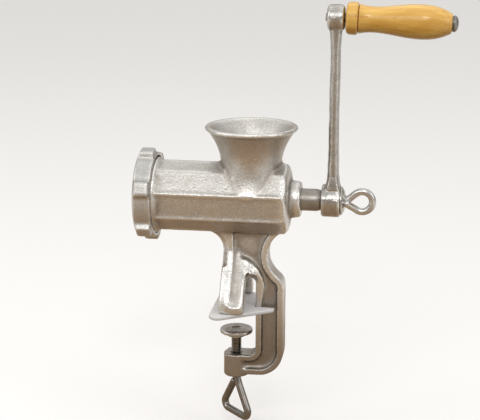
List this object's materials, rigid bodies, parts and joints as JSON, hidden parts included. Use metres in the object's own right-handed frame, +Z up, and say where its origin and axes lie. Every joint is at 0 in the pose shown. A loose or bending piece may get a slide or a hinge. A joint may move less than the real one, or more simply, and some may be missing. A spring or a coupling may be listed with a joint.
{
  "type": "manual meat grinder",
  "caption": "Hand-cranked meat grinder in tinned cast iron: a flared hopper over a faceted feed barrel, a lobed ring nut, a crank with a wooden grip and a table clamp.",
  "frame": {"origin": "on the table top, which the pad under the feet rests on, at the axis of the clamp screw", "axes": "+X along the feed screw from the mouth to the crank, +Z up from the table top, +Y across"},
  "size_m": [0.2411, 0.0778, 0.3353],
  "materials": {
    "tinned_iron": "hot-tinned, grainy and satin",
    "bright_iron": "hot-tinned and turned, bright satin",
    "steel": "ground bright",
    "polished_steel": "plated and polished",
    "washer_plastic": "smooth matt",
    "pad_plastic": "milky, soft and satin",
    "beech": "varnished, glossy"
  },
  "bodies": {
    "casting": {"body_casting": "tinned_iron", "locating_pin": "steel", "table_pad": "pad_plastic", "thrust_washer": "washer_plastic"},
    "drive": {"auger": "bright_iron", "auger_stud": "steel", "knife": "steel", "crank_arm": "tinned_iron", "grip_pin": "steel", "grip_washer": "steel"},
    "grip": {"wood_grip": "beech"},
    "plate": {"grinding_plate": "steel"},
    "ring": {"ring_nut": "bright_iron"},
    "washer": {"crank_washer": "polished_steel"},
    "thumbscrew": {"crank_thumbscrew": "polished_steel"},
    "pressure_foot": {"pressure_plate": "steel"},
    "clamp": {"clamp_screw": "polished_steel"}
  },
  "joints": [
    {"name": "crank_spin", "type": "hinge", "parent": "casting", "child": "drive", "pos_m": [0, 0, 0.089], "axis": [1, 0, 0], "continuous": true},
    {"name": "grip_spin", "type": "hinge", "parent": "drive", "child": "grip", "pos_m": [0.0748, 0, 0.2294], "axis": [0.9994, 0, -0.0349], "continuous": true},
    {"name": "plate_slide", "type": "slide", "parent": "casting", "child": "plate", "axis": [-1, 0, 0], "range_m": [0, 0.0075]},
    {"name": "ring_turn", "type": "hinge", "parent": "plate", "child": "ring", "pos_m": [-0.07, 0, 0.089], "axis": [-1, 0, 0], "range_deg": [0, 1082]},
    {"name": "washer_slide", "type": "slide", "parent": "drive", "child": "washer", "axis": [1, 0, 0], "range_m": [0, 0.0075]},
    {"name": "thumbscrew_turn", "type": "hinge", "parent": "washer", "child": "thumbscrew", "pos_m": [0.085, 0, 0.089], "axis": [1, 0, 0], "range_deg": [0, 2165]},
    {"name": "clamp_travel", "type": "slide", "parent": "casting", "child": "pressure_foot", "axis": [0, 0, 1], "range_m": [-0.01125, 0.00125]},
    {"name": "clamp_screw_turn", "type": "hinge", "parent": "pressure_foot", "child": "clamp", "pos_m": [0, 0, -0.05], "axis": [0, 0, 1], "range_deg": [-3248, 362]}
  ],
  "couplings": [
    {"joint": "ring_turn", "follows": "plate_slide", "rad_per_m": 2513.3},
    {"joint": "thumbscrew_turn", "follows": "washer_slide", "rad_per_m": 5026.5},
    {"joint": "clamp_screw_turn", "follows": "clamp_travel", "rad_per_m": 5026.5}
  ]
}
